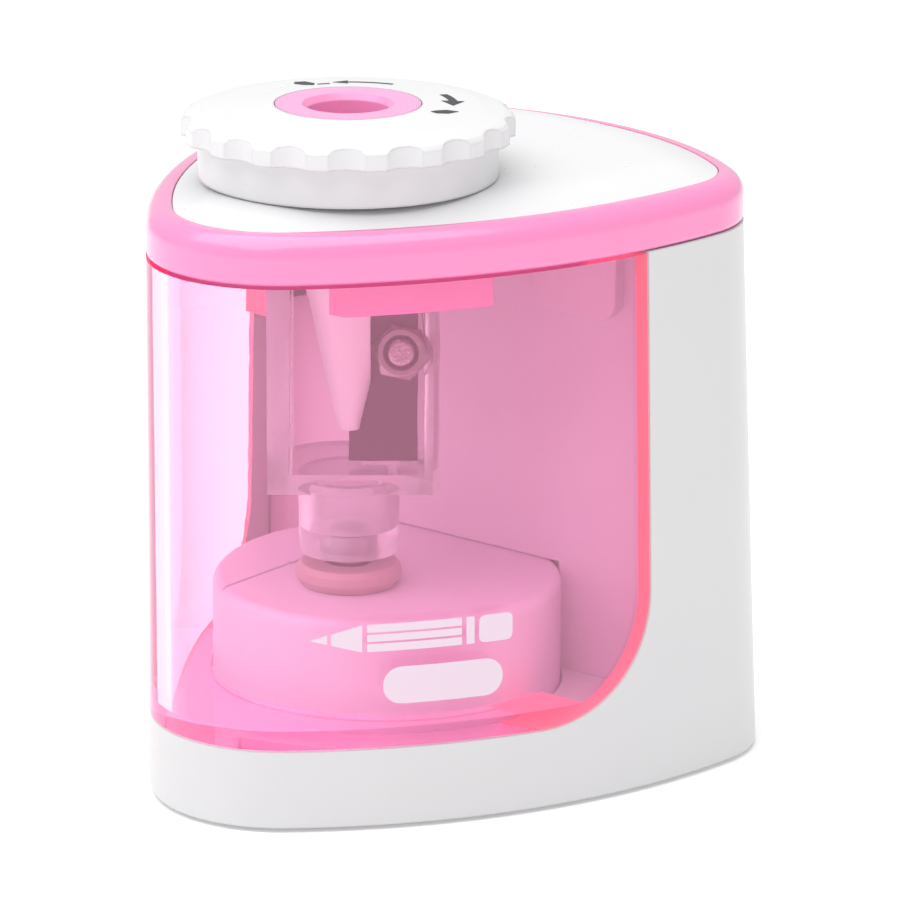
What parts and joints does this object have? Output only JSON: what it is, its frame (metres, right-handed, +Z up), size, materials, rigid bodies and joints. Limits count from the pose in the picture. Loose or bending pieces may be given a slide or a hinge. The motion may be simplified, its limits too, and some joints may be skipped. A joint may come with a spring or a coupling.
{
  "type": "electric pencil sharpener",
  "caption": "Battery pencil sharpener: clear pink pull-out shavings drawer, white flared case, pink rim, scalloped point-adjusting dial and a geared cutter head.",
  "frame": {"origin": "middle of the footprint on the surface that the sharpener stands on", "axes": "+Z up along the pencil hole, -Y towards the drawer's nose, +X to the right seen from the front"},
  "size_m": [0.0642, 0.0726, 0.0737],
  "materials": {
    "white_shell": "glossy white moulding",
    "grey_plastic": "matte moulding",
    "pink_rim": "glossy pink moulding",
    "pink_clear": "clear pink moulding",
    "clear_plastic": "clear moulding",
    "seal": "soft translucent",
    "gear_plastic": "natural acetal",
    "steel": "plain steel",
    "brass": "turned brass",
    "rubber": "matte rubber",
    "cell_jacket": "printed metal jacket",
    "black_plastic": "matte moulding"
  },
  "bodies": {
    "base": {"housing": "white_shell", "bottom_cover": "grey_plastic", "base_screws": "steel", "rubber_feet": "rubber", "gearbox_cover": "white_shell", "gear_plate": "grey_plastic", "gear_pins": "steel", "motor_can": "steel", "motor_end_cap": "white_shell", "spindle_seal": "seal", "start_switch": "grey_plastic", "chamber_back_wall": "white_shell", "interlock_switch": "grey_plastic", "rim_frame": "pink_rim", "top_plate": "white_shell", "top_screws": "steel", "battery_cell_left": "cell_jacket", "battery_cell_right": "cell_jacket", "cell_holder": "grey_plastic", "contact_leaves": "steel", "contact_plates": "steel", "return_spring": "steel"},
    "drawer": {"drawer": "pink_clear"},
    "interlock_plunger": {"interlock_plunger": "black_plastic"},
    "dial": {"dial": "white_shell", "dial_clip": "steel"},
    "pencil_guide": {"pencil_guide": "pink_rim"},
    "thrust_cup": {"thrust_cup": "grey_plastic"},
    "cutter_head": {"cutter_carrier": "clear_plastic", "cone_seat": "white_shell", "blade": "steel", "blade_nut": "steel", "blade_screw": "steel", "spindle": "steel", "output_gear": "gear_plastic"},
    "front_idler": {"front_idler_gear": "gear_plastic"},
    "rear_idler": {"rear_idler_gear": "gear_plastic"},
    "motor_rotor": {"motor_shaft": "steel", "motor_armature": "steel", "motor_pinion": "brass"},
    "battery_door": {"battery_door": "white_shell"}
  },
  "joints": [
    {"name": "drawer_slide", "type": "slide", "parent": "base", "child": "drawer", "axis": [0, -1, 0], "range_m": [0, 0.045]},
    {"name": "interlock_plunge", "type": "slide", "parent": "base", "child": "interlock_plunger", "axis": [0, -1, 0], "range_m": [0, 0.0012]},
    {"name": "dial_turn", "type": "hinge", "parent": "base", "child": "dial", "pos_m": [0, -0.01124, 0.07], "axis": [0, 0, 1], "range_deg": [0, 120]},
    {"name": "guide_lower", "type": "slide", "parent": "base", "child": "pencil_guide", "axis": [0, 0, -1], "range_m": [0, 0.0012]},
    {"name": "cutter_press", "type": "slide", "parent": "base", "child": "thrust_cup", "axis": [0, 0, -1], "range_m": [0, 0.0012], "stiffness_N_per_m": 800, "springref_m": -0.002, "deforming": ["return_spring"]},
    {"name": "cutter_spin", "type": "hinge", "parent": "thrust_cup", "child": "cutter_head", "pos_m": [0, -0.01124, 0.04], "axis": [0, 0, 1], "continuous": true},
    {"name": "front_idler_spin", "type": "hinge", "parent": "base", "child": "front_idler", "pos_m": [0, 0.00126, 0.01], "axis": [0, 0, 1], "continuous": true},
    {"name": "rear_idler_spin", "type": "hinge", "parent": "base", "child": "rear_idler", "pos_m": [0, 0.01126, 0.008], "axis": [0, 0, 1], "continuous": true},
    {"name": "motor_spin", "type": "hinge", "parent": "base", "child": "motor_rotor", "pos_m": [0, 0.02051, 0.02], "axis": [0, 0, 1], "continuous": true},
    {"name": "battery_door_pull", "type": "slide", "parent": "base", "child": "battery_door", "axis": [0, 1, 0], "range_m": [0, 0.025]}
  ],
  "couplings": [
    {"joint": "interlock_plunge", "follows": "drawer_slide", "ratio": 0.026667},
    {"joint": "guide_lower", "follows": "dial_turn", "m_per_rad": 0.00057296},
    {"joint": "front_idler_spin", "follows": "cutter_spin", "ratio": -3.1667},
    {"joint": "rear_idler_spin", "follows": "cutter_spin", "ratio": 9.5},
    {"joint": "motor_spin", "follows": "cutter_spin", "ratio": -25.65}
  ]
}
